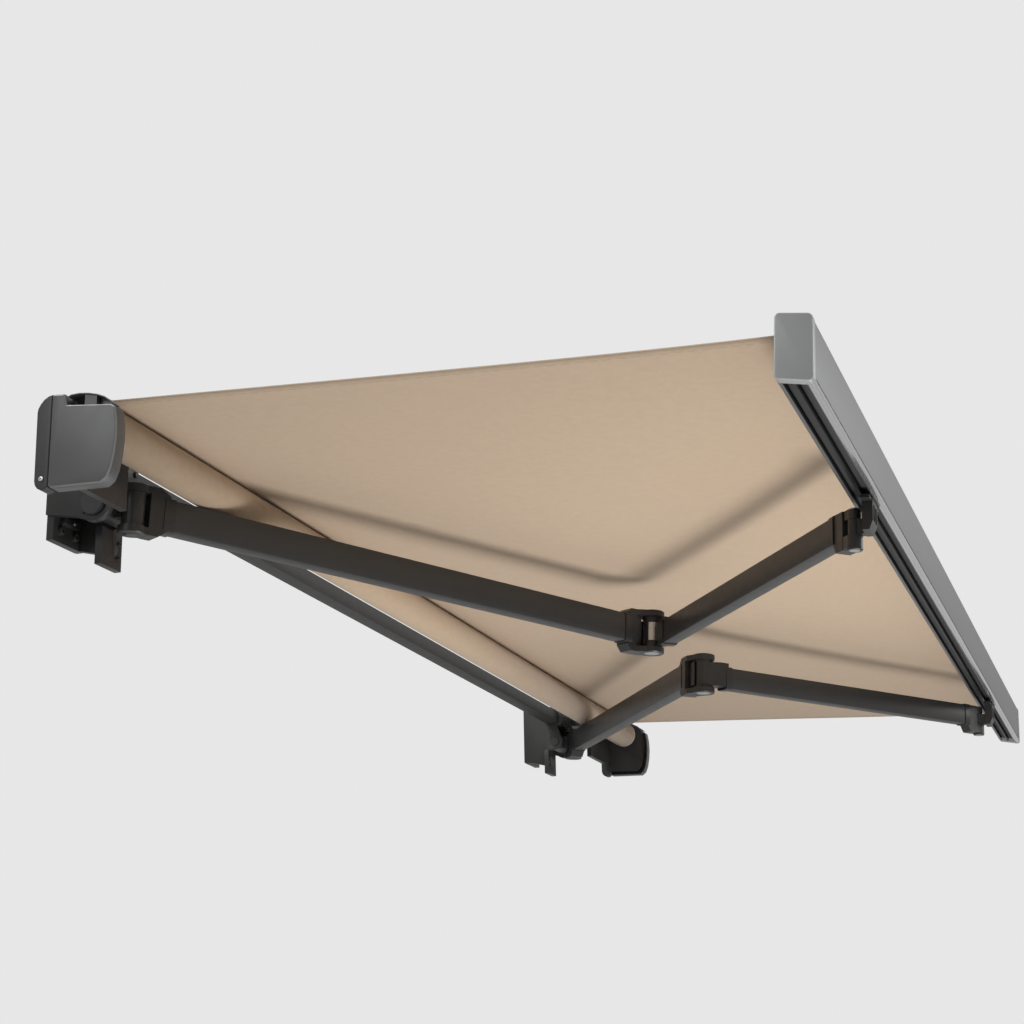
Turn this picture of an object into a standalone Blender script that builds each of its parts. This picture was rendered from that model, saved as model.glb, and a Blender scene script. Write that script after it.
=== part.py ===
"""Folding-arm awning, fully out: brackets, torsion bar, roll, two folding arms, front bar and canopy.

Metres, +Z up. X=0 is the middle of the width, Y=0 the wall plane (the awning reaches to -Y) and
Z=0 the bottom edge of the wall plates. Each side is drawn once at +X and mirrored for -X. In the
outlines, f is the distance out from the wall (f = -Y).
"""

import math

import bmesh
import bpy
from mathutils import Matrix, Vector

# Gaps between pieces
SEAT_GAP = 0.0003
RUN_GAP = 0.0001
OPEN_PIVOT_GAP = 0.0012
JOIN = 0.0003

# Arms: lengths between pivots and the plane they fold in
REAR_LENGTH = 1.357
WRIST_INBOARD = 0.362
FORE_LENGTH = REAR_LENGTH - WRIST_INBOARD
REAR_ANGLE = math.radians(32.46)
FORE_ANGLE = math.acos((REAR_LENGTH * math.cos(REAR_ANGLE) - WRIST_INBOARD) / FORE_LENGTH)
PITCH = math.radians(3.03)
SHOULDER_X = 1.394
SHOULDER_F = 0.1536
SHOULDER_Z = 0.0353
REAR_OFFSET = 0.022
FORE_OFFSET = 0.020
REAR_HALF = (0.0195, 0.033)
FORE_HALF = (0.0175, 0.028)
REAR_WALL = 0.0025
FORE_WALL = 0.0025
REAR_RISE = (0.025, 0.002)
FORE_RISE = (-0.0095, 0.0085)

# Wall brackets
PLATE_X = (SHOULDER_X - 0.042, SHOULDER_X + 0.060)
PLATE_T = 0.015
PLATE_H = 0.180
CHEEK_IN = (SHOULDER_X - 0.049, SHOULDER_X - 0.034)
CHEEK_OUT = (SHOULDER_X + 0.051, SHOULDER_X + 0.066)
BOLT_X = 0.050
BOLT_Z = (0.024, 0.156)
BOLT_R = 0.0055
PITCH_F = 0.107
PITCH_Z = 0.063
BOSS_R = 0.026
OUTER_BOSS_R = 0.038
DISC_R = 0.0265
FOOT_X = (SHOULDER_X - 0.069, SHOULDER_X + 0.006)

# Torsion bar
BAR_F = (0.0766, 0.1166)
BAR_Z = (0.124, 0.164)
BAR_PAST = 0.042
BAR_HALF = CHEEK_OUT[1] + BAR_PAST
BAR_WALL = 0.003

# Roller and cloth
ROLL_F = 0.2459
ROLL_Z = 0.130
ROLL_R = 0.041
TUBE_R = 0.0375
CLOTH_HALF = 1.680
TUBE_HALF = CLOTH_HALF + 0.004
CLOTH_T = 0.0010
AXLE_R = 0.010

# End plates and covers
END_PLATE_X = (TUBE_HALF + 0.0125, TUBE_HALF + 0.0205)
COVER_X = (END_PLATE_X[1] + 0.0005, END_PLATE_X[1] + 0.0305)
STRIP_OUT_X = COVER_X[1] - 0.0015
COVER_WALL = 0.003

# Elbow and wrist
EAR_R = 0.029
HUB_HALF = 0.051
DRUM_R = 0.0225
DRUM_HALF = 0.0325
WRIST_R = 0.0155

# Front bar: its section is drawn in s (out) and t (up), in metres
FRONT_AT = (1.491, 0.018)
FRONT_S = (0.987, -0.158)
FRONT_T = (0.066, 0.995)
FRONT_HALF = CLOTH_HALF + 0.020
FRONT_CAP = 0.020

for old in list(bpy.data.objects):
    bpy.data.objects.remove(old, do_unlink=True)

PALETTE = {
    "anthracite": ((0.045, 0.044, 0.043, 1.0), 0.6, 0.45),
    "steel": ((0.55, 0.55, 0.56, 1.0), 1.0, 0.3),
    "grey": ((0.30, 0.31, 0.32, 1.0), 0.6, 0.4),
    "cover": ((0.09, 0.092, 0.094, 1.0), 0.0, 0.5),
    "plastic": ((0.03, 0.03, 0.03, 1.0), 0.0, 0.5),
    "fabric": ((0.39, 0.30, 0.21, 1.0), 0.0, 0.9),
}
MATERIALS = {}
for label, (colour, metallic, roughness) in PALETTE.items():
    material = bpy.data.materials.new(label)
    material.use_nodes = True
    shader = material.node_tree.nodes["Principled BSDF"]
    shader.inputs["Base Color"].default_value = colour
    shader.inputs["Metallic"].default_value = metallic
    shader.inputs["Roughness"].default_value = roughness
    material.diffuse_color = colour
    MATERIALS[label] = material


def arc(centre, radius, start, end, steps):
    """Points on a circle, from one angle to the other in degrees."""
    found = []
    for i in range(steps + 1):
        angle = math.radians(start + (end - start) * i / steps)
        found.append((centre[0] + radius * math.cos(angle), centre[1] + radius * math.sin(angle)))
    return found


def rounded(half, radius, steps=2):
    """A rectangle with round corners, about (0, 0)."""
    found = []
    for sx, sy, start in ((1, 1, 0), (-1, 1, 90), (-1, -1, 180), (1, -1, 270)):
        centre = (sx * (half[0] - radius), sy * (half[1] - radius))
        found += arc(centre, radius, start, start + 90, steps)
    return found


def area_of(outline):
    total = 0.0
    for (x0, y0), (x1, y1) in zip(outline, outline[1:] + outline[:1]):
        total += x0 * y1 - x1 * y0
    return total / 2


def inset(outline, by):
    """The outline moved inwards, each corner along the mean of its two sides' normals."""
    turn = 1.0 if area_of(outline) > 0 else -1.0
    found = []
    count = len(outline)
    for i in range(count):
        here = Vector(outline[i])
        before = (here - Vector(outline[i - 1])).normalized()
        after = (Vector(outline[(i + 1) % count]) - here).normalized()
        n1 = Vector((-before.y, before.x)) * turn
        n2 = Vector((-after.y, after.x)) * turn
        mean = (n1 + n2).normalized()
        scale = by / max(mean.dot(n1), 0.35)
        found.append(tuple(here + mean * scale))
    return found


def loft(rings):
    """One closed body through rings of equally many 3-D points, with flat ends."""
    count = len(rings[0])
    points = [point for ring in rings for point in ring]
    faces = [list(range(count)), list(range((len(rings) - 1) * count, len(rings) * count))]
    for level in range(len(rings) - 1):
        for i in range(count):
            j = (i + 1) % count
            base = level * count
            faces.append([base + i, base + j, base + count + j, base + count + i])
    return points, faces


def pipe(outer_rings, inner_rings):
    """A hollow body: an outer and an inner wall with as many points, joined at both ends."""
    count = len(outer_rings[0])
    points = [point for ring in outer_rings + inner_rings for point in ring]
    shift = len(outer_rings) * count
    last = (len(outer_rings) - 1) * count
    faces = []
    for i in range(count):
        j = (i + 1) % count
        for level in range(len(outer_rings) - 1):
            base = level * count
            faces.append([base + i, base + j, base + count + j, base + count + i])
            base += shift
            faces.append([base + j, base + i, base + count + i, base + count + j])
        faces.append([j, i, shift + i, shift + j])
        faces.append([last + i, last + j, shift + last + j, shift + last + i])
    return points, faces


def along_x(outline, lo, hi):
    """An (f, z) outline drawn out along X."""
    return loft([[(x, -f, z) for f, z in outline] for x in (lo, hi)])


def along_x_chamfered(outline, lo, hi, chamfer):
    """The same with a chamfered edge at hi."""
    small = inset(outline, chamfer)
    rings = [(lo, outline), (hi - chamfer, outline), (hi, small)]
    return loft([[(x, -f, z) for f, z in line] for x, line in rings])


def upright(outline, lo, hi):
    """An outline in the first two coordinates drawn out along the third."""
    return loft([[(a, b, c) for a, b in outline] for c in (lo, hi)])


def box(x, y, z):
    return upright([(x[0], y[0]), (x[1], y[0]), (x[1], y[1]), (x[0], y[1])], z[0], z[1])


def disc(centre, radius, lo, hi, steps=24):
    """A cylinder along the third coordinate."""
    return upright(arc(centre, radius, 0, 360 - 360 / steps, steps - 1), lo, hi)


def disc_x(centre, radius, lo, hi, steps=24):
    """A cylinder along X about an (f, z) centre."""
    return along_x(arc(centre, radius, 0, 360 - 360 / steps, steps - 1), lo, hi)


def turned_x(centre, profile, steps=24):
    """A turned body about X through an (f, z) centre: rings of (x, radius)."""
    rings = []
    for x, radius in profile:
        rings.append([(x, -f, z) for f, z in arc(centre, radius, 0, 360 - 360 / steps, steps - 1)])
    return loft(rings)


def turned(centre, profile, steps=24):
    """A turned body about the third coordinate: rings of (c, radius)."""
    rings = []
    for c, radius in profile:
        rings.append([(a, b, c) for a, b in arc(centre, radius, 0, 360 - 360 / steps, steps - 1)])
    return loft(rings)


def moved(shape, matrix):
    points, faces = shape
    return [tuple(matrix @ Vector(point)) for point in points], faces


def put(name, shape, side, origin, matrix, hidden):
    """An object with its mesh about origin. side -1 mirrors it to -X."""
    points, faces = shape
    if matrix is not None:
        points = [matrix @ Vector(point) for point in points]
    places = [Vector((side * p[0], p[1], p[2])) - origin for p in points]
    mesh = bpy.data.meshes.new(name)
    mesh.from_pydata([tuple(p) for p in places], [], faces)
    work = bmesh.new()
    work.from_mesh(mesh)
    bmesh.ops.recalc_face_normals(work, faces=work.faces)
    if work.calc_volume(signed=True) < 0:
        bmesh.ops.reverse_faces(work, faces=work.faces)
    work.to_mesh(mesh)
    work.free()
    obj = bpy.data.objects.new(name, mesh)
    obj.location = origin
    bpy.context.scene.collection.objects.link(obj)
    if hidden:
        obj.hide_render = True
        obj.display_type = "WIRE"
    return obj


def node(name, base, material, side=1, origin=(0, 0, 0), matrix=None, add=(), cut=(), smooth=False):
    """One node: a base shape, then the shapes joined to it and those cut from it."""
    at = Vector(origin)
    obj = put(name, base, side, at, matrix, False)
    obj.data.materials.append(MATERIALS[material])
    if smooth:
        obj.data.shade_smooth()
    for operation, shapes in (("UNION", add), ("DIFFERENCE", cut)):
        for i, shape in enumerate(shapes):
            tool = put(f"{name}_{operation.lower()}_{i}", shape, side, at, matrix, True)
            modifier = obj.modifiers.new(f"{operation.lower()} {i}", "BOOLEAN")
            modifier.operation = operation
            modifier.solver = "EXACT"
            modifier.object = tool
    return obj


def frame_at(origin, along, across):
    """A matrix from (along, across, up) in the fold plane to the part's own axes."""
    plane = Matrix.Rotation(PITCH, 4, "X")
    local = Matrix.Identity(4)
    local.col[0] = (along[0], along[1], 0, 0)
    local.col[1] = (across[0], across[1], 0, 0)
    local.col[3] = (origin[0], origin[1], 0, 1)
    base = Matrix.Translation((0, -SHOULDER_F, SHOULDER_Z))
    return base @ plane @ local


ELBOW_X = SHOULDER_X - REAR_LENGTH * math.cos(REAR_ANGLE)
ELBOW_Y = -REAR_LENGTH * math.sin(REAR_ANGLE)
WRIST_X = SHOULDER_X - WRIST_INBOARD
WRIST_Y = ELBOW_Y - FORE_LENGTH * math.sin(FORE_ANGLE)
rc, rs = math.cos(REAR_ANGLE), math.sin(REAR_ANGLE)
fc, fs = math.cos(FORE_ANGLE), math.sin(FORE_ANGLE)
REAR = frame_at((SHOULDER_X, 0), (-rc, -rs), (-rs, rc))
FORE = frame_at((ELBOW_X, ELBOW_Y), (fc, -fs), (-fs, -fc))
WRIST = frame_at((WRIST_X, WRIST_Y), (1, 0), (0, 1))


def arm_section(half, radius, a, b, c):
    return [(a, b + p, c + q) for p, q in rounded(half, radius)]


def arm_tube(half, wall, radius, ends, offsets, rises, length):
    """A hollow profile along a straight line that leans sideways and up over its length."""
    outer, inner = [], []
    small = (half[0] - wall, half[1] - wall)
    for a in ends:
        b = offsets[0] + (offsets[1] - offsets[0]) * a / length
        c = rises[0] + (rises[1] - rises[0]) * a / length
        outer.append(arm_section(half, radius, a, b, c))
        inner.append(arm_section(small, radius - wall, a, b, c))
    return pipe(outer, inner)


def arm_block(half, radius, ends, centres):
    """A solid piece of profile between two places on an arm: centres are (b, c) at each end."""
    rings = []
    for (a, size), (b, c) in zip(zip(ends, half), centres):
        rings.append(arm_section(size, radius, a, b, c))
    return loft(rings)


def rear_line(a):
    share = a / REAR_LENGTH
    return REAR_OFFSET * share, REAR_RISE[0] + (REAR_RISE[1] - REAR_RISE[0]) * share


def fore_line(a):
    share = a / FORE_LENGTH
    return FORE_OFFSET * (1 - share), FORE_RISE[0] + (FORE_RISE[1] - FORE_RISE[0]) * share


def shrunk(half, by):
    return half[0] - by, half[1] - by


def wall_side(side, tag):
    """Bracket casting, jaw, knuckle and pitch pin of one side."""
    lip_f = BAR_F[1] - 0.0002
    seat_f = BAR_F[0] - SEAT_GAP
    claw = [(0.0, 0.172), (0.050, 0.178), (lip_f, 0.178)]
    claw += [(lip_f, BAR_Z[1] + SEAT_GAP), (seat_f, BAR_Z[1] + SEAT_GAP)]
    claw += [(seat_f, BAR_Z[0] - SEAT_GAP), (lip_f, BAR_Z[0] - SEAT_GAP), (lip_f - 0.0004, 0.108)]
    inner_cheek = claw + arc((PITCH_F, PITCH_Z), BOSS_R, 40, -80, 10)
    inner_cheek += [(0.091, 0.036), (0.091, -0.014), (0.076, -0.014), (PLATE_T, 0.001), (0.0, 0.001)]
    outer_cheek = claw + arc((PITCH_F, PITCH_Z), OUTER_BOSS_R, 62, -130, 16)
    outer_cheek += [(0.060, 0.040), (0.0, 0.050)]
    plate = [(0.0, 0.0), (0.0, PLATE_H), (PLATE_T, PLATE_H), (PLATE_T, 0.0)]
    foot = [(0.0765, -0.042), (0.0905, -0.042), (0.0905, 0.034), (0.0765, 0.034)]
    block = [(0.012, 0.036), (0.012, 0.053), (0.026, 0.051), (0.026, 0.038)]
    middle = (PLATE_X[0] + PLATE_X[1]) / 2
    holes = []
    for x in (middle - BOLT_X / 2, middle + BOLT_X / 2):
        for z in BOLT_Z:
            hole = disc((x, z), BOLT_R, -0.01, 0.03, 24)
            holes.append(moved(hole, Matrix.Rotation(math.radians(90), 4, "X")))
    reach = (CHEEK_IN[0] - 0.03, CHEEK_OUT[1] + 0.03)
    holes.append(disc_x((PITCH_F, PITCH_Z), AXLE_R + RUN_GAP, *reach))
    for z in (-0.017, 0.012):
        hole = disc((SHOULDER_X - 0.0555, z), 0.0033, 0.06, 0.10, 16)
        holes.append(moved(hole, Matrix.Rotation(math.radians(90), 4, "X")))
    node(
        f"{tag}_wall_bracket",
        along_x(plate, *PLATE_X),
        "anthracite",
        side,
        add=[
            along_x(inner_cheek, *CHEEK_IN),
            along_x(outer_cheek, *CHEEK_OUT),
            along_x(foot, *FOOT_X),
            along_x(block, SHOULDER_X - 0.017, SHOULDER_X + 0.036),
        ],
        cut=holes,
    )
    jaw = [(BAR_F[1] + SEAT_GAP, 0.1165), (BAR_F[1] + SEAT_GAP, 0.177), (0.127, 0.177)]
    jaw += [(0.1305, 0.172), (0.1305, 0.121), (0.127, 0.1165)]
    bolts = [disc_x((0, 0), 0.0065, 0, 0.006, 6) for _ in range(2)]
    heads = []
    for bolt, x in zip(bolts, (CHEEK_IN[0] + 0.0075, CHEEK_OUT[0] + 0.0075)):
        turn = Matrix.Translation((x, -0.129, 0.1475)) @ Matrix.Rotation(math.radians(-90), 4, "Z")
        heads.append(moved(bolt, turn))
    node(f"{tag}_bar_jaw", along_x(jaw, *(CHEEK_IN[0], CHEEK_OUT[1])), "anthracite", side, add=heads)

    eye_low, eye_high = -0.0085, 0.0585
    inner_x = (CHEEK_IN[1] + SEAT_GAP, CHEEK_OUT[0] - SEAT_GAP)
    tongue = [(0.110, 0.043), (0.110, 0.083), (0.140, 0.083), (0.140, 0.043)]
    node(
        f"{tag}_knuckle",
        disc_x((PITCH_F, PITCH_Z), BOSS_R, *inner_x),
        "anthracite",
        side,
        add=[
            along_x(tongue, SHOULDER_X - 0.019, SHOULDER_X + 0.019),
            moved(disc((0, 0), 0.0225, eye_low, eye_high), WRIST_TO_SHOULDER),
        ],
        cut=[
            disc_x((PITCH_F, PITCH_Z), AXLE_R + RUN_GAP, *reach),
            moved(disc((0, 0), 0.009 + RUN_GAP, -0.03, 0.08), WRIST_TO_SHOULDER),
        ],
    )
    pin = [(CHEEK_IN[0] - 0.0045, 0.014), (CHEEK_IN[0] - SEAT_GAP, 0.014)]
    face = CHEEK_OUT[1] + SEAT_GAP
    pin += [(CHEEK_IN[0] - SEAT_GAP, AXLE_R), (face, AXLE_R)]
    pin += [(face, DISC_R), (face + 0.006, DISC_R), (face + 0.008, DISC_R - 0.002)]
    node(f"{tag}_pitch_pin", turned_x((PITCH_F, PITCH_Z), pin), "steel", side)


WRIST_TO_SHOULDER = frame_at((SHOULDER_X, 0), (1, 0), (0, 1))


def rear_arm(side, tag):
    pivot = REAR @ Vector((0, 0, 0))
    origin = (side * pivot.x, pivot.y, pivot.z)
    elbow = REAR @ Vector((REAR_LENGTH, 0, 0))
    elbow_origin = (side * elbow.x, elbow.y, elbow.z)
    low, high = -0.025, 0.075
    ear = 0.0155
    web = [(0.027, low + JOIN), (0.048, low + JOIN), (0.066, low + 0.014)]
    web += [(0.070, high - 0.014), (0.048, high - JOIN), (0.027, high - JOIN)]
    web_solid = loft([[(a, b, c) for a, c in web] for b in (-REAR_HALF[0], REAR_HALF[0])])
    side_plate = [(0.0, -0.0191), (0.040, -0.0191), (0.040, 0.0191), (0.0, 0.0191)]
    collar_ends = (0.058, 0.082)
    plug_ends = (0.078, 0.130)
    collar = shrunk(REAR_HALF, -0.0022)
    plug = shrunk(REAR_HALF, REAR_WALL + SEAT_GAP)
    node(
        f"{tag}_shoulder_fork",
        web_solid,
        "anthracite",
        side,
        origin,
        REAR,
        add=[
            upright(side_plate, high - ear + JOIN, high - 2 * JOIN),
            upright(side_plate, low + 2 * JOIN, low + ear - JOIN),
            turned((0, 0), [(high - ear, 0.0275), (high - 0.0015, 0.0275), (high, 0.026)]),
            turned((0, 0), [(low, 0.026), (low + 0.0015, 0.0275), (low + ear, 0.0275)]),
            arm_block((collar, collar), 0.006, collar_ends, [rear_line(a) for a in collar_ends]),
            arm_block((plug, plug), 0.002, plug_ends, [rear_line(a) for a in plug_ends]),
        ],
        cut=[
            disc((0, 0), 0.009 + RUN_GAP, low - 0.01, high + 0.01),
            disc((0, 0), 0.0165, low - 0.01, low + 0.003),
        ],
    )
    node(
        f"{tag}_shoulder_pin",
        turned((0, 0), [(low - 0.0005, 0.0145), (low + 0.0005, 0.016), (low + 0.0027, 0.016), (low + 0.0027, 0.009),
                        (high + SEAT_GAP, 0.009), (high + SEAT_GAP, 0.015), (high + 0.003, 0.015)]),
        "steel",
        side,
        origin,
        REAR,
    )
    ends = (collar_ends[1] + SEAT_GAP, REAR_LENGTH - 0.082 - SEAT_GAP)
    tube = arm_tube(REAR_HALF, REAR_WALL, 0.0045, ends, (0, REAR_OFFSET), REAR_RISE, REAR_LENGTH)
    node(f"{tag}_rear_arm", tube, "anthracite", side, origin, REAR)

    end = REAR_LENGTH
    thick = HUB_HALF - DRUM_HALF - 0.0043
    tall = HUB_HALF - JOIN
    block = [(-0.074, -0.036), (-0.062, -tall), (-0.031, -tall)]
    block += [(-0.031, tall), (-0.062, tall), (-0.074, 0.040)]
    near, far = 0.0028, 0.0412
    block_solid = loft([[(end + a, b, c) for a, c in block] for b in (near, far)])
    ear_plate = [(-0.050, far - JOIN), (-0.050, near + JOIN), (-0.026, -0.0125)]
    ear_plate += [(0.0, 0.0), (0.0, EAR_R - JOIN), (-0.018, far - JOIN)]
    ear_plate = [(end + a, b) for a, b in ear_plate]
    back_ends = (end - 0.082, end - 0.060)
    back_plug = (end - 0.132, end - 0.078)
    head = HUB_HALF - 0.0035
    node(
        f"{tag}_elbow_fork",
        block_solid,
        "anthracite",
        side,
        elbow_origin,
        REAR,
        add=[
            upright(ear_plate, HUB_HALF - thick + JOIN, HUB_HALF - 2 * JOIN),
            upright(ear_plate, -HUB_HALF + 2 * JOIN, -HUB_HALF + thick - JOIN),
            turned((end, 0), [(HUB_HALF - thick, EAR_R), (HUB_HALF - 0.002, EAR_R), (HUB_HALF, EAR_R - 0.002)]),
            turned((end, 0), [(-HUB_HALF, EAR_R - 0.002), (-HUB_HALF + 0.002, EAR_R), (-HUB_HALF + thick, EAR_R)]),
            arm_block((collar, collar), 0.006, back_ends, [rear_line(a) for a in back_ends]),
            arm_block((plug, plug), 0.002, back_plug, [rear_line(a) for a in back_plug]),
        ],
        cut=[
            disc((end, 0), AXLE_R + RUN_GAP, -0.08, 0.08),
            disc((end, 0), 0.0195, -HUB_HALF - 0.01, -head),
        ],
    )
    node(
        f"{tag}_elbow_pin",
        turned((end, 0), [(-HUB_HALF + 0.0003, 0.0175), (-HUB_HALF + 0.0013, 0.019), (-head - SEAT_GAP, 0.019),
                          (-head - SEAT_GAP, AXLE_R), (HUB_HALF + SEAT_GAP, AXLE_R),
                          (HUB_HALF + SEAT_GAP, 0.018), (HUB_HALF + 0.002, 0.018), (HUB_HALF + 0.003, 0.016)]),
        "steel",
        side,
        elbow_origin,
        REAR,
    )


def forearm(side, tag):
    elbow = FORE @ Vector((0, 0, 0))
    origin = (side * elbow.x, elbow.y, elbow.z)
    wrist = FORE @ Vector((FORE_LENGTH, 0, 0))
    wrist_origin = (side * wrist.x, wrist.y, wrist.z)
    near, far = 0.0028, 0.0375
    neck = [(0.004, near), (0.0, 0.0215), (0.010, 0.028), (0.030, far), (0.054, far), (0.054, near)]
    collar = shrunk(FORE_HALF, -0.002)
    plug = shrunk(FORE_HALF, FORE_WALL + SEAT_GAP)
    collar_ends = (0.046, 0.066)
    plug_ends = (0.062, 0.112)
    node(
        f"{tag}_elbow_eye",
        disc((0, 0), DRUM_R, -DRUM_HALF, DRUM_HALF),
        "anthracite",
        side,
        origin,
        FORE,
        add=[
            upright(neck, -DRUM_HALF + JOIN, 0.030),
            arm_block((collar, collar), 0.0055, collar_ends, [fore_line(a) for a in collar_ends]),
            arm_block((plug, plug), 0.0015, plug_ends, [fore_line(a) for a in plug_ends]),
        ],
        cut=[disc((0, 0), AXLE_R + RUN_GAP, -0.08, 0.08)],
    )
    for label, low, high in (("upper", DRUM_HALF, HUB_HALF), ("lower", -HUB_HALF, -DRUM_HALF)):
        thick = 0.0037
        start = low + SEAT_GAP if label == "upper" else high - SEAT_GAP - thick
        ring_out = arc((0, 0), 0.0245, 0, 345, 23)
        ring_in = arc((0, 0), AXLE_R + 0.0004, 0, 345, 23)
        outer = [[(a, b, c) for a, b in ring_out] for c in (start, start + thick)]
        inner = [[(a, b, c) for a, b in ring_in] for c in (start, start + thick)]
        node(f"{tag}_elbow_{label}_bush", pipe(outer, inner), "plastic", side, origin, FORE)
    ends = (collar_ends[1] + SEAT_GAP, FORE_LENGTH - 0.070 - SEAT_GAP)
    tube = arm_tube(FORE_HALF, FORE_WALL, 0.004, ends, (FORE_OFFSET, 0), FORE_RISE, FORE_LENGTH)
    node(f"{tag}_forearm", tube, "anthracite", side, origin, FORE)

    end = FORE_LENGTH
    low, mid_low, mid_high, high = -0.044, -0.0145, 0.0165, 0.036
    body = [(-0.058, -0.020), (-0.046, low + 0.004), (-0.0185, low + 0.004), (-0.0185, high), (-0.046, high), (-0.058, 0.034)]
    body_solid = loft([[(end + a, b, c) for a, c in body] for b in (-0.0155, 0.0155)])
    upper = [(end + a, b) for a, b in ((-0.030, -0.0125), (0.0, -0.0125), (0.0, 0.0125), (-0.030, 0.0125))]
    lower = [(end + a, b) for a, b in ((-0.030, -0.0150), (0.0, -0.0150), (0.0, 0.0150), (-0.030, 0.0150))]
    back_ends = (end - 0.070, end - 0.052)
    back_plug = (end - 0.118, end - 0.066)
    node(
        f"{tag}_wrist_fork",
        body_solid,
        "anthracite",
        side,
        wrist_origin,
        FORE,
        add=[
            upright(upper, mid_high + JOIN, high - JOIN),
            upright(lower, low + 0.0045, mid_low - JOIN),
            turned((end, 0), [(mid_high, 0.0125), (high - 0.0015, 0.0125), (high, 0.011)]),
            turned((end, 0), [(low, WRIST_R - 0.0015), (low + 0.0015, WRIST_R), (mid_low, WRIST_R)]),
            arm_block((collar, collar), 0.0055, back_ends, [fore_line(a) for a in back_ends]),
            arm_block((plug, plug), 0.0015, back_plug, [fore_line(a) for a in back_plug]),
        ],
        cut=[
            disc((end, 0), 0.007 + RUN_GAP, -0.08, 0.08),
            disc((end, 0), 0.0108, low - 0.01, low + 0.0025),
        ],
    )
    node(
        f"{tag}_wrist_pin",
        turned((end, 0), [(low, 0.0105), (low + 0.0022, 0.0105), (low + 0.0022, 0.007), (high + SEAT_GAP, 0.007),
                          (high + SEAT_GAP, 0.010), (high + 0.0022, 0.010)]),
        "steel",
        side,
        wrist_origin,
        FORE,
    )


def front_yz(s, t):
    return FRONT_AT[0] + FRONT_S[0] * s + FRONT_T[0] * t, FRONT_AT[1] + FRONT_S[1] * s + FRONT_T[1] * t


def front_outline(points):
    """Section points in millimetres to (f, z)."""
    return [front_yz(s / 1000, t / 1000) for s, t in points]


def bracket(side, tag):
    """What hangs from the front bar and holds a wrist."""
    body = [(-0.0205, -0.014), (-0.0205, 0.0500), (-0.041, 0.0477), (-0.041, 0.004), (-0.034, -0.014)]
    body_solid = loft([[(x, y, c) for y, c in body] for x in (-0.014, 0.038)])
    wrist = WRIST @ Vector((0, 0, 0))
    # The arms' two wrists don't keep exactly the same distance apart, so one eye is wider.
    play = OPEN_PIVOT_GAP if side > 0 else RUN_GAP
    node(
        f"{tag}_bar_bracket",
        body_solid,
        "anthracite",
        side,
        (side * wrist.x, wrist.y, wrist.z),
        WRIST,
        add=[
            box((-0.0105, 0.0105), (-0.024, 0.0), (-0.0138, 0.0158)),
            disc((0, 0), 0.0125, -0.0140, 0.0160),
            box((-0.040, 0.064), (-0.0395, -0.0215), (0.040, 0.0470)),
        ],
        cut=[
            disc((0, 0), 0.007 + play, -0.08, 0.08),
            box((-0.008, 0.010), (-0.060, -0.030), (0.004, 0.036)),
            box((0.015, 0.032), (-0.060, -0.030), (0.004, 0.036)),
        ],
    )


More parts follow.
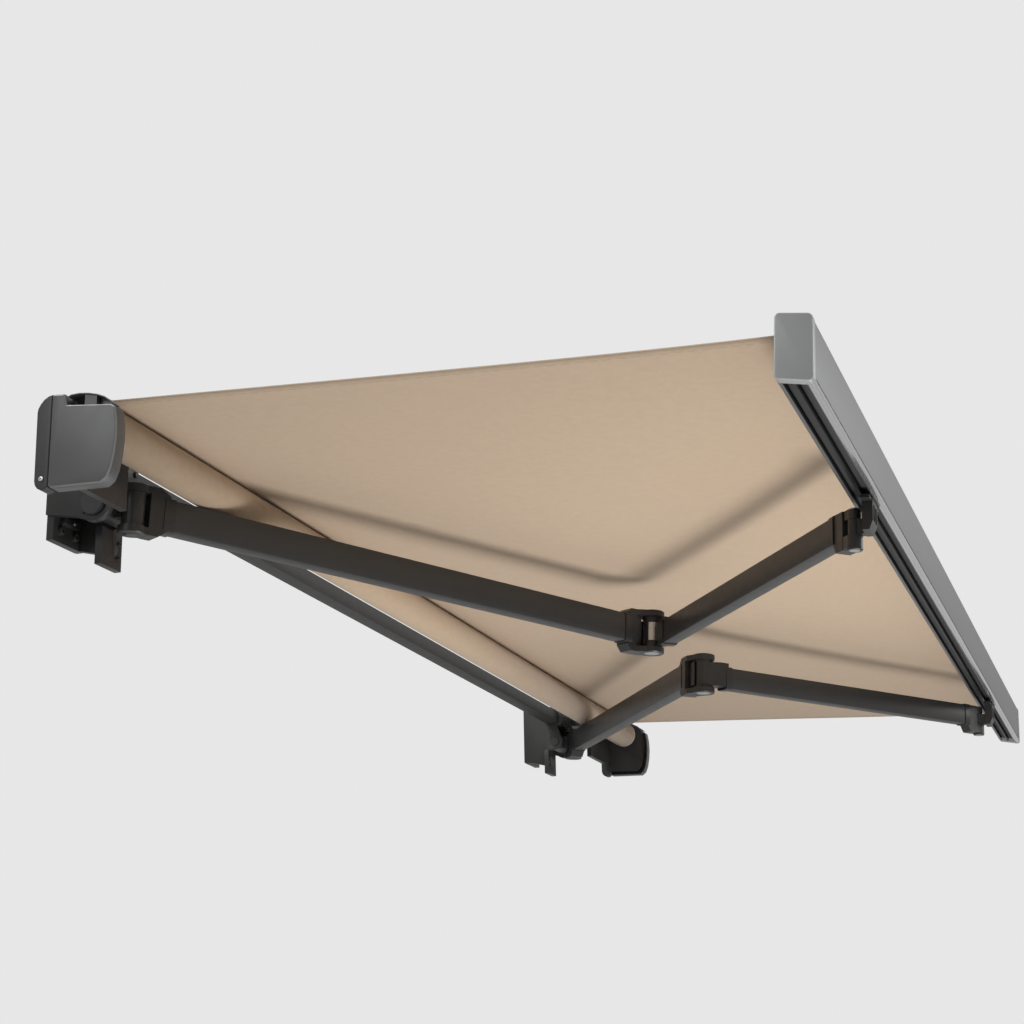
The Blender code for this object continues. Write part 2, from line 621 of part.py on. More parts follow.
def roller_end(side, tag):
    """Console on the torsion bar's end, the roller's plug, and the covers over it."""
    ring = [(0.064, 0.112), (0.064, 0.176), (0.177, 0.176), (0.190, 0.168), (0.190, 0.112)]
    hole = [(BAR_F[0] - SEAT_GAP, BAR_Z[0] - SEAT_GAP), (BAR_F[0] - SEAT_GAP, BAR_Z[1] + SEAT_GAP)]
    hole += [(BAR_F[1] + SEAT_GAP, BAR_Z[1] + SEAT_GAP), (BAR_F[1] + SEAT_GAP, BAR_Z[0] - SEAT_GAP)]
    bridge = [(0.176, 0.030), (0.176, 0.170), (0.190, 0.170), (0.190, 0.030)]
    plate = [(0.176, 0.012), (0.284, 0.006), (0.300, 0.022), (0.306, 0.060), (0.302, 0.142)]
    plate += [(0.290, 0.160), (0.268, 0.171), (0.238, 0.1745), (0.205, 0.173), (0.176, 0.168)]
    centre = (ROLL_F, ROLL_Z)
    node(
        f"{tag}_console",
        along_x(ring, BAR_HALF - 0.028, BAR_HALF - 0.003),
        "anthracite",
        side,
        add=[
            along_x(bridge, BAR_HALF - 0.026, END_PLATE_X[1] - 0.001),
            along_x(plate, *END_PLATE_X),
        ],
        cut=[
            along_x(hole, BAR_HALF - 0.06, BAR_HALF + 0.02),
            disc_x(centre, AXLE_R + RUN_GAP, END_PLATE_X[0] - 0.02, END_PLATE_X[1] + 0.02),
        ],
    )
    tube_in = TUBE_R - 0.0018
    end = TUBE_HALF + SEAT_GAP
    rim = TUBE_R + 0.001
    profile = [(end - 0.044, tube_in - SEAT_GAP), (end, tube_in - SEAT_GAP), (end, rim), (end + 0.003, rim)]
    profile += [(end + 0.004, rim - 0.001), (end + 0.004, 0.0215), (end + 0.009, 0.0205)]
    profile += [(end + 0.009, AXLE_R), (END_PLATE_X[1] - 0.0005, AXLE_R)]
    node(
        f"{tag}_roller_plug",
        turned_x(centre, profile, 40),
        "grey",
        side,
        (0, -ROLL_F, ROLL_Z),
    )
    cover = [(0.185, 0.1757), (0.2095, 0.1735), (0.2120, 0.166), (0.2155, 0.152), (0.307, 0.141)]
    cover += [(0.316, 0.135), (0.3205, 0.110), (0.3215, 0.080), (0.319, 0.050), (0.3135, 0.022)]
    cover += [(0.306, 0.004), (0.294, -0.005), (0.191, -0.0015), (0.185, 0.004)]
    inner = inset(cover, COVER_WALL)
    node(
        f"{tag}_end_cover",
        along_x_chamfered(cover, *COVER_X, 0.003),
        "cover",
        side,
        cut=[along_x(inner, COVER_X[0] - 0.01, COVER_X[1] - 0.004)],
    )
    strip = [(0.1540, 0.146), (0.1555, 0.015), (0.1575, 0.007), (0.162, 0.001), (0.169, -0.003)]
    strip += [(0.1755, -0.003), (0.182, 0.000), (0.1843, 0.008), (0.1843, 0.1760), (0.176, 0.1745)]
    strip += [(0.167, 0.169), (0.160, 0.161), (0.1555, 0.153)]
    node(
        f"{tag}_cover_strip",
        along_x_chamfered(strip, COVER_X[0], STRIP_OUT_X, 0.0015),
        "cover",
        side,
    )
    cap = arc((7.5, 6.5), 8.5, 180, 270, 4) + arc((54, 4.5), 8.5, 270, 360, 4)
    cap += arc((52.5, 102), 8.5, 0, 90, 4) + arc((7.5, 102), 8.5, 90, 180, 4)
    node(
        f"{tag}_bar_cap",
        along_x_chamfered(front_outline(cap), FRONT_HALF + SEAT_GAP, FRONT_HALF + FRONT_CAP, 0.002),
        "grey",
        side,
    )


def middle_pieces():
    centre = ((BAR_F[0] + BAR_F[1]) / 2, (BAR_Z[0] + BAR_Z[1]) / 2)
    half = ((BAR_F[1] - BAR_F[0]) / 2, (BAR_Z[1] - BAR_Z[0]) / 2)
    outer = [(centre[0] + p, centre[1] + q) for p, q in rounded(half, 0.004, 2)]
    inner = [(centre[0] + p, centre[1] + q) for p, q in rounded(shrunk(half, BAR_WALL), 0.002, 2)]
    rings = []
    for line in (outer, inner):
        rings.append([[(x, -f, z) for f, z in line] for x in (-BAR_HALF, BAR_HALF)])
    node("torsion_bar", pipe(*rings), "anthracite")

    roller_origin = (0, -ROLL_F, ROLL_Z)
    turns = []
    for radius, reach in ((TUBE_R, TUBE_HALF), (TUBE_R - 0.0018, TUBE_HALF)):
        line = arc((ROLL_F, ROLL_Z), radius, 0, 351, 39)
        turns.append([[(x, -f, z) for f, z in line] for x in (-reach, reach)])
    node("roller_tube", pipe(*turns), "steel", 1, roller_origin)
    turns = []
    for radius in (ROLL_R, TUBE_R + SEAT_GAP):
        line = arc((ROLL_F, ROLL_Z), radius, 0, 351, 39)
        turns.append([[(x, -f, z) for f, z in line] for x in (-CLOTH_HALF, CLOTH_HALF)])
    node("cloth_roll", pipe(*turns), "fabric", 1, roller_origin)

    top = (ROLL_F + 0.0041, ROLL_Z + ROLL_R + SEAT_GAP)
    bottom = (FRONT_AT[0] + 0.0150, FRONT_AT[1] + 0.0863)
    cloth = [top, bottom, (bottom[0], bottom[1] + CLOTH_T), (top[0], top[1] + CLOTH_T)]
    node("canopy", along_x(cloth, -CLOTH_HALF, CLOTH_HALF), "fabric")

    section = [(0, 2), (2, 0), (8, 0), (8, 13), (24, 13), (24, 0), (29, 0), (29, 13), (46, 13), (46, 0)]
    section += [(51, -1.5), (55, -2.6), (59, -1.8), (61.4, 0.6), (61.8, 4), (60.2, 7.6), (57.5, 9), (57.5, 11)]
    section += [(60, 12), (60, 101), (59, 105), (57, 107.5), (53, 109), (5, 109), (1.5, 107.5), (0, 104)]
    section += [(0, 91.5), (16, 91.5), (16, 85.5), (0, 85.5)]
    lower = [(2.5, 16), (56.5, 16), (57.5, 80), (2.5, 80)]
    upper = [(19, 83), (57.5, 83), (57.5, 100), (54, 106), (19, 106)]
    reach = FRONT_HALF + 0.01
    node(
        "front_bar",
        along_x(front_outline(section), -FRONT_HALF, FRONT_HALF),
        "grey",
        cut=[
            along_x(front_outline(lower), -reach, reach),
            along_x(front_outline(upper), -reach, reach),
        ],
    )


middle_pieces()
for side, tag in ((-1, "left"), (1, "right")):
    wall_side(side, tag)
    rear_arm(side, tag)
    forearm(side, tag)
    bracket(side, tag)
    roller_end(side, tag)
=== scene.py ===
"""Looks of the folding-arm awning: powder-coated arms, grey front bar and a stretched beige canopy."""

import math

import bmesh
import bpy
from mathutils import Matrix, Vector


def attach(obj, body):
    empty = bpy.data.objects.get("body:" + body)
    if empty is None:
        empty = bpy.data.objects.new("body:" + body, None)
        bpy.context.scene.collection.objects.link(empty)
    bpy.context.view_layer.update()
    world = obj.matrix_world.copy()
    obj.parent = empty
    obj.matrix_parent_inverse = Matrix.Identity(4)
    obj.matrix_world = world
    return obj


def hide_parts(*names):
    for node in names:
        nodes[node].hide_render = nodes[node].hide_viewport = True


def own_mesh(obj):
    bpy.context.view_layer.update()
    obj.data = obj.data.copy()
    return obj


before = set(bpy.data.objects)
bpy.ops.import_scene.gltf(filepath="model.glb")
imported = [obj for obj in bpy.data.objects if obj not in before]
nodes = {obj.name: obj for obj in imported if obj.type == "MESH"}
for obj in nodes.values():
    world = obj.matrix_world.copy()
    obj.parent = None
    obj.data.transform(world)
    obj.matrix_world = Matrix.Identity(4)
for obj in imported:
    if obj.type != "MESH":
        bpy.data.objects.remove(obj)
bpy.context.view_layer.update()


# Shader writing


class Value:
    """A socket that can be used in arithmetic."""

    def __init__(self, paint, socket):
        self.paint = paint
        self.socket = socket

    def math(self, operation, other, swap=False):
        first, second = (other, self) if swap else (self, other)
        made = self.paint.add("ShaderNodeMath", {"operation": operation}, {0: first, 1: second})
        return Value(self.paint, made.outputs[0])

    def __add__(self, other):
        return self.math("ADD", other)

    def __sub__(self, other):
        return self.math("SUBTRACT", other)

    def __rsub__(self, other):
        return self.math("SUBTRACT", other, True)

    def __mul__(self, other):
        return self.math("MULTIPLY", other)

    def __lt__(self, other):
        return self.math("LESS_THAN", other)

    def __gt__(self, other):
        return self.math("GREATER_THAN", other)


class Paint:
    """One material and its nodes."""

    def __init__(self, name, roughness, metallic=0.0):
        self.material = bpy.data.materials.new(name)
        self.material.use_nodes = True
        self.tree = self.material.node_tree
        self.shader = self.tree.nodes["Principled BSDF"]
        self.shader.inputs["Roughness"].default_value = roughness
        self.shader.inputs["Metallic"].default_value = metallic

    def add(self, kind, settings=None, sockets=None):
        made = self.tree.nodes.new(kind)
        for key, value in (settings or {}).items():
            if key == "stops":
                ramp = made.color_ramp.elements
                while len(ramp) < len(value):
                    ramp.new(0.5)
                for element, (place, colour) in zip(ramp, value):
                    element.position = place
                    element.color = colour
            else:
                setattr(made, key, value)
        for key, value in (sockets or {}).items():
            self.feed(made.inputs[key], value)
        return made

    def feed(self, socket, value):
        if isinstance(value, Value):
            self.tree.links.new(value.socket, socket)
        elif isinstance(value, bpy.types.NodeSocket):
            self.tree.links.new(value, socket)
        else:
            socket.default_value = value

    def place(self, scale=(1, 1, 1)):
        where = self.add("ShaderNodeTexCoord").outputs["Object"]
        return self.add("ShaderNodeMapping", {}, {"Vector": where, "Scale": scale}).outputs[0]

    def axis(self, letter):
        where = self.add("ShaderNodeTexCoord").outputs["Object"]
        split = self.add("ShaderNodeSeparateXYZ", {}, {0: where})
        return Value(self, split.outputs[letter])

    def noise(self, scale, detail=3.0, stretch=(1, 1, 1)):
        sockets = {"Vector": self.place(stretch), "Scale": scale, "Detail": detail}
        made = self.add("ShaderNodeTexNoise", {}, sockets)
        return Value(self, made.outputs["Fac"])

    def threads(self, direction, scale, distortion=0.6):
        settings = {"wave_type": "BANDS", "bands_direction": direction}
        sockets = {"Vector": self.place(), "Scale": scale, "Distortion": distortion, "Detail": 1.0}
        return Value(self, self.add("ShaderNodeTexWave", settings, sockets).outputs["Fac"])

    def blend(self, share, first, second):
        made = self.add("ShaderNodeMix", {"data_type": "RGBA"}, {"Factor": share, 6: first, 7: second})
        return made.outputs[2]

    def colour(self, value):
        self.feed(self.shader.inputs["Base Color"], value)

    def bump(self, height, strength, distance):
        made = self.add("ShaderNodeBump", {}, {"Height": height, "Strength": strength, "Distance": distance})
        self.feed(self.shader.inputs["Normal"], made.outputs[0])


CLOTH_HALF = 1.680
CLOTH_HEM = 1.652
CLOTH_STITCH = 1.655
LIT_EDGE_WIDTH = 0.0032
COVER_OUT = 1.735
FRONT_END = 1.720


def grey(level, warm=0.0):
    return (level * (1 + warm), level, level * (1 - warm), 1.0)


def powder_coat(name, level, roughness, warm=0.02):
    """Fine orange-peel powder coat with faint handling marks."""
    paint = Paint(name, roughness)
    cloud = paint.noise(6.0, 4.0)
    fleck = paint.noise(1400.0, 1.0)
    paint.colour(paint.blend(cloud * 0.6 + fleck * 0.4, grey(level * 0.78, warm), grey(level * 1.28, warm)))
    paint.feed(paint.shader.inputs["Roughness"], paint.noise(35.0, 5.0) * 0.16 + (roughness - 0.08))
    paint.bump(paint.noise(900.0, 2.0) * 0.7 + paint.noise(120.0) * 0.3, 0.22, 0.0006)
    paint.shader.inputs["Specular IOR Level"].default_value = 0.42
    return paint


def brushed_metal(name, level, roughness, stretch, warm=0.0, metallic=1.0):
    """Long fine brush lines along one axis."""
    paint = Paint(name, roughness, metallic)
    lines = paint.noise(1.0, 6.0, stretch)
    cloud = paint.noise(3.0, 3.0)
    paint.colour(paint.blend(lines * 0.7 + cloud * 0.3, grey(level * 0.82, warm), grey(level * 1.18, warm)))
    paint.feed(paint.shader.inputs["Roughness"], lines * 0.14 + (roughness - 0.07))
    paint.bump(lines, 0.12, 0.0004)
    return paint


def moulded(name, level, roughness, warm=0.0, metallic=0.0, grain=700.0):
    """Moulded plastic or cast cap with a fine spark-eroded grain."""
    paint = Paint(name, roughness, metallic)
    cloud = paint.noise(9.0, 4.0)
    paint.colour(paint.blend(cloud, grey(level * 0.86, warm), grey(level * 1.14, warm)))
    paint.feed(paint.shader.inputs["Roughness"], paint.noise(50.0, 4.0) * 0.14 + (roughness - 0.07))
    paint.bump(paint.noise(grain, 2.0), 0.18, 0.0004)
    return paint


def canvas(name, dark, light):
    """Acrylic awning cloth: fine cross weave, soft mottling, sewn edge hems and a painted highlight along the
    cut edges.
    """
    paint = Paint(name, 0.92)
    weave = paint.threads("X", 420.0) * 0.5 + paint.threads("Y", 420.0) * 0.5
    mottle = paint.noise(55.0, 6.0) * 0.6 + paint.noise(420.0, 2.0) * 0.4
    edge = paint.axis("X").math("ABSOLUTE", 0.0)
    stitch = (edge - CLOTH_STITCH).math("ABSOLUTE", 0.0) < 0.0011
    stitch = stitch * (paint.axis("Y").math("MULTIPLY", 260.0).math("SINE", 0.0) > -0.35)
    hem = edge > CLOTH_HEM
    base = paint.blend(mottle * 0.8 + weave * 0.2, dark, light)
    shade = paint.blend(hem * 0.10 + stitch * 0.45, base, grey(0.16, 0.2))
    # Painted highlight: the outermost strip of the cloth's width, on the canopy's side edges and the roll's
    # ends, is lightened as if light catches the cut edge.
    lit_edge_highlight = edge > CLOTH_HALF - LIT_EDGE_WIDTH
    paint.colour(paint.blend(lit_edge_highlight * 0.75, shade, (0.80, 0.64, 0.50, 1.0)))
    paint.bump(weave * 0.5 + mottle * 0.5 + stitch * 0.6 + hem * 0.5, 0.35, 0.0008)
    paint.shader.inputs["Sheen Weight"].default_value = 0.15
    paint.shader.inputs["Sheen Roughness"].default_value = 0.6
    return paint


def paint_chamfer_highlight(paint, low, high, colour):
    """Paints a highlight: lightens the chamfer that lies between two distances from the middle of the width.
    """
    across = paint.axis("X").math("ABSOLUTE", 0.0)
    band = (across > low) * (across < high)
    own = paint.shader.inputs["Base Color"].links[0].from_socket
    paint.colour(paint.blend(band * 0.8, own, colour))


ARM_COAT = powder_coat("anthracite_powder_arms", 0.030, 0.38, 0.03)
CAST_COAT = powder_coat("anthracite_powder_castings", 0.024, 0.36, 0.03)
BAR_COAT = powder_coat("anthracite_powder_bar", 0.030, 0.5, 0.02)
PIN_STEEL = brushed_metal("turned_pin_steel", 0.62, 0.3, (60, 60, 500))
STRAP_STEEL = brushed_metal("elbow_strap_steel", 0.5, 0.3, (60, 60, 700))
TUBE_STEEL = brushed_metal("galvanised_tube", 0.42, 0.4, (8, 500, 500))
COVER_SKIN = moulded("satin_cover", 0.105, 0.36, -0.01, 0.35)
# A lighter copy of the cover's satin grey: painted light on the hood's roof and on the panel behind the rib,
# where the cover's inner surface is lit.
LIT_COVER_SKIN = moulded("satin_cover_painted_light", 0.15, 0.36, -0.01, 0.35)
CAP_SKIN = moulded("satin_cap", 0.40, 0.34, -0.01, 0.35)
STRIP_SKIN = moulded("satin_strip", 0.042, 0.42, -0.01, 0.2)
# Painted highlights on the outer chamfers of the end covers and the bar caps.
paint_chamfer_highlight(COVER_SKIN, COVER_OUT - 0.0029, COVER_OUT - 0.0003, grey(0.30))
paint_chamfer_highlight(CAP_SKIN, FRONT_END - 0.0021, FRONT_END - 0.0002, grey(0.62))
RUBBER = moulded("black_seal", 0.012, 0.6, 0.0, 0.0, 300.0)
BUSH = moulded("black_bush", 0.018, 0.45)
CLOTH = canvas("beige_canvas", (0.375, 0.272, 0.180, 1.0), (0.52, 0.392, 0.272, 1.0))

# The front bar's lower lip is polished, its face is brushed lengthwise, and the channels under it are painted
# near black as shade.
FRONT_FACE = brushed_metal("brushed_front_bar", 0.19, 0.36, (3, 700, 700), -0.005, 0.85)
down = FRONT_FACE.axis("Z") - 0.018
out = FRONT_FACE.axis("Y") * -1.0 - 1.491
height = down * 0.9945 + out * 0.159
depth = out * 1.0025 - down * 0.0665
lip = (height < 0.0088) * (depth > 0.049)
# Painted shade: the channel faces under the bar are coloured near black.
channel_shade = (height < 0.0155) * (depth < 0.047) * (depth > 0.0078)
FRONT_FACE.feed(
    FRONT_FACE.shader.inputs["Roughness"],
    0.34 - lip * 0.21,
)
base_link = FRONT_FACE.shader.inputs["Base Color"].links[0].from_socket
shiny = FRONT_FACE.blend(lip, base_link, grey(0.72))
FRONT_FACE.colour(FRONT_FACE.blend(channel_shade, shiny, grey(0.02)))

CASTINGS = (
    "wall_bracket",
    "bar_jaw",
    "knuckle",
    "console",
    "shoulder_fork",
    "elbow_fork",
    "elbow_eye",
    "wrist_fork",
    "bar_bracket",
)
DRESS = {
    "torsion_bar": BAR_COAT,
    "roller_tube": TUBE_STEEL,
    "front_bar": FRONT_FACE,
}
for tag in ("left", "right"):
    for word in ("rear_arm", "forearm"):
        DRESS[f"{tag}_{word}"] = ARM_COAT
    for word in CASTINGS:
        DRESS[f"{tag}_{word}"] = CAST_COAT
    for word in ("pitch_pin", "shoulder_pin"):
        DRESS[f"{tag}_{word}"] = CAST_COAT
    for word in ("elbow_pin", "wrist_pin"):
        DRESS[f"{tag}_{word}"] = PIN_STEEL
    for word in ("elbow_upper_bush", "elbow_lower_bush"):
        DRESS[f"{tag}_{word}"] = BUSH
    DRESS[f"{tag}_end_cover"] = COVER_SKIN
    DRESS[f"{tag}_cover_strip"] = STRIP_SKIN
    DRESS[f"{tag}_bar_cap"] = CAP_SKIN
    DRESS[f"{tag}_roller_plug"] = COVER_SKIN

SOFT_EDGES = {
    "end_cover": 0.0022,
    "cover_strip": 0.0015,
    "bar_cap": 0.0030,
    "wall_bracket": 0.0012,
    "bar_jaw": 0.0015,
}
for name, obj in nodes.items():
    mesh = obj.data
    if "custom_normal" in mesh.attributes:
        mesh.attributes.remove(mesh.attributes["custom_normal"])
    mesh.shade_smooth()
    mesh.materials.clear()
    if name in DRESS:
        mesh.materials.append(DRESS[name].material)
    weld = obj.modifiers.new("weld", "WELD")
    weld.merge_threshold = 0.00001
    word = name.split("_", 1)[-1]
    if word in SOFT_EDGES:
        bevel = obj.modifiers.new("bevel", "BEVEL")
        bevel.width = SOFT_EDGES[word]
        bevel.segments = 3
        bevel.limit_method = "ANGLE"
        bevel.angle_limit = math.radians(32)
        bevel.use_clamp_overlap = True
    split = obj.modifiers.new("split", "EDGE_SPLIT")
    split.split_angle = math.radians(34)


# New pieces


def finish_piece(work, name, paint, body):
    """Turns a bmesh into a piece at the origin that rides on a body."""
    bmesh.ops.recalc_face_normals(work, faces=work.faces)
    mesh = bpy.data.meshes.new(name)
    work.to_mesh(mesh)
    work.free()
    mesh.shade_smooth()
    mesh.materials.append(paint.material)
    obj = bpy.data.objects.new(name, mesh)
    bpy.context.scene.collection.objects.link(obj)
    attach(obj, body)
    return obj


def split_edges(obj, degrees=34):
    modifier = obj.modifiers.new("split", "EDGE_SPLIT")
    modifier.split_angle = math.radians(degrees)


PITCH = math.radians(3.03)
REAR_ANGLE = math.radians(32.46)
REAR_LENGTH = 1.357
DRUM_R = 0.0225
SHOULDER = (1.394, -0.1536, 0.0353)
ELBOW = (
    SHOULDER[0] - REAR_LENGTH * math.cos(REAR_ANGLE),
    SHOULDER[1] - REAR_LENGTH * math.sin(REAR_ANGLE) * math.cos(PITCH),
    SHOULDER[2] - REAR_LENGTH * math.sin(REAR_ANGLE) * math.sin(PITCH),
)
ROLL_Y, ROLL_Z, ROLL_R = -0.2459, 0.130, 0.041
CANOPY_BACK = Vector((0, -0.2478, ROLL_Z + ROLL_R + 0.0006))
CANOPY_FRONT = Vector((0, -1.5060, 0.1048))


def make_canopy():
    """The stretched cloth: a grid from the roll's top to the slot in the front bar, sagging a little."""
    work = bmesh.new()
    bmesh.ops.create_grid(work, x_segments=140, y_segments=64, size=0.5)
    along = CANOPY_FRONT - CANOPY_BACK
    for vertex in work.verts:
        u, v = vertex.co.x * 2, 0.5 - vertex.co.y
        point = CANOPY_BACK + along * v
        edge_pull = 1.0 - 0.35 * abs(u) ** 3
        sag = -0.0075 * 6.75 * v * v * (1 - v) * edge_pull
        ripple = 0.0016 * math.sin(7.0 * u + 2.2 * v) * math.sin(math.pi * v) ** 2
        vertex.co = (u * CLOTH_HALF, point.y, point.z + sag + ripple)
    obj = finish_piece(work, "canopy_cloth", CLOTH, "front_bar")
    solid = obj.modifiers.new("cloth thickness", "SOLIDIFY")
    solid.thickness = 0.0006
    solid.offset = 0
    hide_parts("canopy")
    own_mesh(obj)
    return obj


def make_roll():
    """The cloth wound on the roller: one spiral of several turns, open at its ends."""
    turns, steps, pitch = 4, 72, 0.00072
    inner = ROLL_R - turns * pitch - 0.0003
    work = bmesh.new()
    ends = []
    for i in range(turns * steps + 1):
        angle = math.radians(90) + 2 * math.pi * (turns - i / steps)
        radius = inner + pitch * i / steps
        y = ROLL_Y - radius * math.cos(angle)
        z = ROLL_Z + radius * math.sin(angle)
        ends.append([work.verts.new((x, y, z)) for x in (-CLOTH_HALF, 0.0, CLOTH_HALF)])
    for first, second in zip(ends, ends[1:]):
        for i in range(2):
            work.faces.new((first[i], first[i + 1], second[i + 1], second[i]))
    obj = finish_piece(work, "wound_cloth", CLOTH, "roller")
    solid = obj.modifiers.new("cloth thickness", "SOLIDIFY")
    solid.thickness = 0.0005
    solid.offset = 0
    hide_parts("cloth_roll")
    return obj


make_canopy()
make_roll()


def socket_screw(name, place, outward, radius, paint, body):
    """A round screw head with a round recess, its face looking along outward."""
    work = bmesh.new()
    bmesh.ops.create_cone(work, segments=32, cap_ends=True, radius1=radius, radius2=radius, depth=radius * 0.9)
    top = [f for f in work.faces if f.normal.z > 0.9]
    rim = [e for f in top for e in f.edges]
    bmesh.ops.bevel(work, geom=rim, offset=radius * 0.16, segments=2, profile=0.5, affect="EDGES", material=-1)
    top = [f for f in work.faces if f.normal.z > 0.99 and len(f.verts) > 8]
    bmesh.ops.inset_region(work, faces=top, thickness=radius * 0.38, depth=0.0)
    bmesh.ops.inset_region(work, faces=top, thickness=radius * 0.04, depth=-radius * 0.4)
    turn = Vector((0, 0, 1)).rotation_difference(Vector(outward)).to_matrix().to_4x4()
    work.transform(Matrix.Translation(place) @ turn)
    obj = finish_piece(work, name, paint, body)
    split_edges(obj)
    return obj


for side, tag in ((-1, "left"), (1, "right")):
    place = (side * 1.7338, -0.171, 0.017)
    socket_screw(f"{tag}_cover_screw", place, (side, 0, 0), 0.0047, PIN_STEEL, "frame")
    place = (side * 1.398, -0.0268, 0.0445)
    socket_screw(f"{tag}_clamp_screw", place, (0, -1, 0), 0.0034, PIN_STEEL, "frame")
    place = (side * 1.4630, -0.085, 0.045)
    socket_screw(f"{tag}_knuckle_screw", place, (side, 0, 0), 0.0030, CAST_COAT, "frame")
    for i, z in enumerate((-0.017, 0.012)):
        place = (side * 1.3385, -0.0925, z)
        socket_screw(f"{tag}_foot_screw_{i}", place, (0, -1, 0), 0.0046, CAST_COAT, "frame")
    for i, x in enumerate((1.378, 1.428)):
        for j, z in enumerate((0.024, 0.156)):
            place = (side * x, -0.0178, z)
            socket_screw(f"{tag}_anchor_{i}{j}", place, (0, -1, 0), 0.0085, CAST_COAT, "frame")


def make_elbow_inside(side, tag):
    """The dark guard in the elbow fork's back and the steel strap that wraps the drum."""
    cos_turn, sin_turn = math.cos(REAR_ANGLE), math.sin(REAR_ANGLE)
    cos_pitch, sin_pitch = math.cos(PITCH), math.sin(PITCH)
    along = Vector((-side * cos_turn, -sin_turn * cos_pitch, -sin_turn * sin_pitch))
    up = Vector((0, -sin_pitch, cos_pitch))
    across = Vector((-side * sin_turn, cos_turn * cos_pitch, cos_turn * sin_pitch))
    base = Matrix((along, across, up)).transposed().to_4x4()
    base.translation = (ELBOW[0] * side, ELBOW[1], ELBOW[2])
    work = bmesh.new()
    bmesh.ops.create_cube(work, size=1.0)
    guard_size = Matrix.Diagonal((0.030, 0.004, 0.063, 1.0))
    work.transform(Matrix.Translation((-0.0100, 0.0275, 0.0)) @ guard_size)
    edges = work.edges[:]
    bmesh.ops.bevel(work, geom=edges, offset=0.0012, segments=2, profile=0.5, affect="EDGES", material=-1)
    work.transform(base)
    guard = finish_piece(work, f"{tag}_elbow_guard", BUSH, f"{tag}_rear_arm")
    split_edges(guard)
    work = bmesh.new()
    steps, radius = 14, DRUM_R + 0.0012
    rows = []
    for i in range(steps + 1):
        angle = math.radians(-152 + 98 * i / steps)
        spot = (radius * math.cos(angle), radius * math.sin(angle))
        rows.append([work.verts.new((spot[0], spot[1], z)) for z in (-0.0215, 0.0215)])
    for first, second in zip(rows, rows[1:]):
        work.faces.new((first[0], first[1], second[1], second[0]))
    bmesh.ops.recalc_face_normals(work, faces=work.faces)
    bmesh.ops.solidify(work, geom=work.faces[:], thickness=0.0009)
    work.transform(base)
    strap = finish_piece(work, f"{tag}_elbow_strap", STRAP_STEEL, f"{tag}_forearm")
    split_edges(strap)


def hood_outline():
    """The hood's curved roof over the roller's end, as (y, z) points from back to front."""
    return [
        (-0.2150, 0.1690),
        (-0.2210, 0.1722),
        (-0.2380, 0.1727),
        (-0.2560, 0.1705),
        (-0.2740, 0.1660),
        (-0.2900, 0.1595),
        (-0.3020, 0.1510),
        (-0.3085, 0.1440),
    ]


def make_hood(side, tag):
    """A thin roof above the cover's cut-out, one rib and a panel behind its front half; roof and panel take
    the cover's grey lightened as painted light.
    """
    wall, inner_x, outer_x = 0.0022, 1.7055, 1.7305
    roof = hood_outline()
    work = bmesh.new()
    line = [work.verts.new((side * inner_x, y, z)) for y, z in roof]
    edges = [work.edges.new(pair) for pair in zip(line, line[1:])]
    made = bmesh.ops.extrude_edge_only(work, edges=edges)["geom"]
    shift = Vector((side * (outer_x - inner_x), 0, 0))
    bmesh.ops.translate(work, vec=shift, verts=[v for v in made if isinstance(v, bmesh.types.BMVert)])
    bmesh.ops.recalc_face_normals(work, faces=work.faces)
    bmesh.ops.solidify(work, geom=work.faces[:], thickness=wall)
    piece = finish_piece(work, f"{tag}_hood_roof", LIT_COVER_SKIN, "frame")
    bevel = piece.modifiers.new("bevel", "BEVEL")
    bevel.width = 0.0006
    bevel.segments = 2
    split_edges(piece)
    for word, back, front, depth in (("rib", 0.2490, 0.2735, 1.7275), ("panel", 0.2745, 0.3045, 1.7150)):
        work = bmesh.new()
        bmesh.ops.create_cube(work, size=1.0)
        lengthwise = [e for e in work.edges if abs((e.verts[0].co - e.verts[1].co).y) > 0.5]
        bmesh.ops.subdivide_edges(work, edges=lengthwise, cuts=6, use_grid_fill=True)
        for vertex in work.verts:
            f = front - (vertex.co.y + 0.5) * (front - back)
            top = height_on(roof, -f) - 0.0015
            z = top if vertex.co.z > 0 else 0.135
            vertex.co = (side * (inner_x + (vertex.co.x + 0.5) * (depth - inner_x)), -f, z)
        piece = finish_piece(work, f"{tag}_hood_{word}", LIT_COVER_SKIN if word == "panel" else COVER_SKIN, "frame")
        split_edges(piece)


def height_on(outline, y):
    """The outline's height at y."""
    for (y0, z0), (y1, z1) in zip(outline, outline[1:]):
        if y0 >= y >= y1:
            return z0 + (z1 - z0) * (y - y0) / (y1 - y0)
    return outline[-1][1]


for side, tag in ((-1, "left"), (1, "right")):
    make_hood(side, tag)
    make_elbow_inside(side, tag)

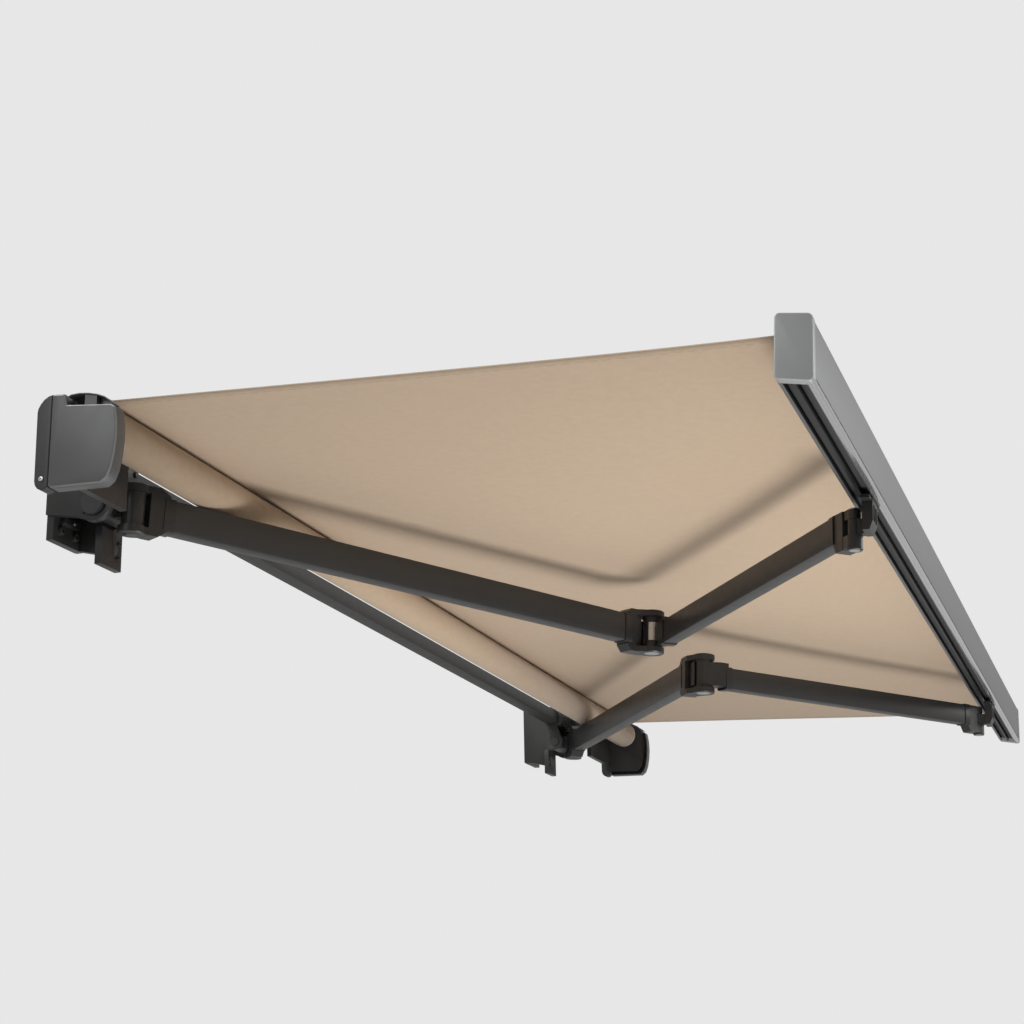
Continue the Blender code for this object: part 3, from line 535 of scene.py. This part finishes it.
# Two black rubber seals lie in the channels under the front bar.
FRONT_AT = Vector((0, -1.491, 0.018))
FRONT_S = Vector((0, -0.987, -0.158))
FRONT_T = Vector((0, -0.066, 0.995))
for i, (low, high) in enumerate(((0.0095, 0.0225), (0.0305, 0.0445))):
    work = bmesh.new()
    bmesh.ops.create_cube(work, size=1.0)
    ridge = [e for e in work.edges if abs(e.verts[0].co.x - e.verts[1].co.x) > 0.5 and e.verts[0].co.z < 0]
    bmesh.ops.bevel(work, geom=ridge, offset=0.2, segments=3, profile=0.5, affect="EDGES", material=-1)
    for vertex in work.verts:
        s = low + (vertex.co.y + 0.5) * (high - low)
        t = 0.0085 + (vertex.co.z + 0.5) * 0.0042
        vertex.co = Vector((vertex.co.x * 3.396, 0, 0)) + FRONT_AT + FRONT_S * s + FRONT_T * t
    seal = finish_piece(work, f"front_seal_{i}", RUBBER, "front_bar")
    split_edges(seal)

# Stage, light and camera


def white_backdrop(name, level):
    paint = Paint(name, 0.95)
    paint.colour(grey(level))
    seen = paint.add("ShaderNodeLightPath")
    glow = paint.add("ShaderNodeEmission", {}, {"Color": grey(0.80), "Strength": 1.0})
    sockets = {0: seen.outputs["Is Camera Ray"], 1: paint.shader.outputs[0], 2: glow.outputs[0]}
    mix = paint.add("ShaderNodeMixShader", {}, sockets)
    paint.tree.links.new(mix.outputs[0], paint.tree.nodes["Material Output"].inputs["Surface"])
    return paint.material


work = bmesh.new()
bmesh.ops.create_grid(work, x_segments=1, y_segments=1, size=14)
work.transform(Matrix.Translation((0, -1, -2.6)))
floor_mesh = bpy.data.meshes.new("terrace_floor")
work.to_mesh(floor_mesh)
work.free()
floor = bpy.data.objects.new("terrace_floor", floor_mesh)
bpy.context.scene.collection.objects.link(floor)
floor_mesh.materials.append(white_backdrop("pale_floor", 0.75))

scene = bpy.context.scene
scene.view_settings.view_transform = "Standard"
world = bpy.data.worlds.new("studio")
scene.world = world
world.use_nodes = True
tree = world.node_tree
light = tree.nodes["Background"]
light.inputs["Color"].default_value = grey(0.9)
light.inputs["Strength"].default_value = 0.50
seen = tree.nodes.new("ShaderNodeLightPath")
shown = tree.nodes.new("ShaderNodeBackground")
shown.inputs["Color"].default_value = grey(0.80)
mix = tree.nodes.new("ShaderNodeMixShader")
tree.links.new(seen.outputs["Is Camera Ray"], mix.inputs[0])
tree.links.new(light.outputs[0], mix.inputs[1])
tree.links.new(shown.outputs[0], mix.inputs[2])
tree.links.new(mix.outputs[0], tree.nodes["World Output"].inputs["Surface"])


def soft_lamp(name, place, aim, size, power):
    lamp = bpy.data.lights.new(name, "AREA")
    lamp.shape = "DISK"
    lamp.size = size
    lamp.energy = power
    obj = bpy.data.objects.new(name, lamp)
    obj.location = place
    obj.rotation_euler = (Vector(aim) - Vector(place)).to_track_quat("-Z", "Y").to_euler()
    scene.collection.objects.link(obj)


soft_lamp("below_terrace", (-0.6, -1.9, -2.2), (-0.5, -0.7, 0.1), 1.3, 55)
soft_lamp("far_below", (1.9, -1.9, -2.4), (0.8, -0.9, 0.1), 2.4, 8)
soft_lamp("front_right", (2.5, -5.0, 1.4), (0.3, -1.2, 0.0), 2.2, 70)
soft_lamp("beside_left", (-4.6, 0.9, 1.9), (-1.5, -0.4, 0.1), 1.6, 20)
soft_lamp("over_wall", (-2.0, 1.2, 3.0), (0, -0.7, 0.1), 2.5, 60)

YAW, TILT, ROLL = math.radians(70.58), math.radians(17.36), math.radians(-1.055)
ahead = Vector((math.sin(YAW) * math.cos(TILT), math.cos(YAW) * math.cos(TILT), math.sin(TILT)))
level_right = Vector((math.cos(YAW), -math.sin(YAW), 0))
level_up = level_right.cross(ahead)
right = level_right * math.cos(ROLL) + level_up * math.sin(ROLL)
up = level_up * math.cos(ROLL) - level_right * math.sin(ROLL)
camera_data = bpy.data.cameras.new("photo_camera")
camera_data.sensor_width = 36
camera_data.lens = 1869.15 / 1024 * 36
camera = bpy.data.objects.new("photo_camera", camera_data)
facing = Matrix((right, up, -ahead)).transposed().to_4x4()
camera.matrix_world = Matrix.Translation((-4.4277, -2.0079, -1.0456)) @ facing
scene.collection.objects.link(camera)
scene.camera = camera
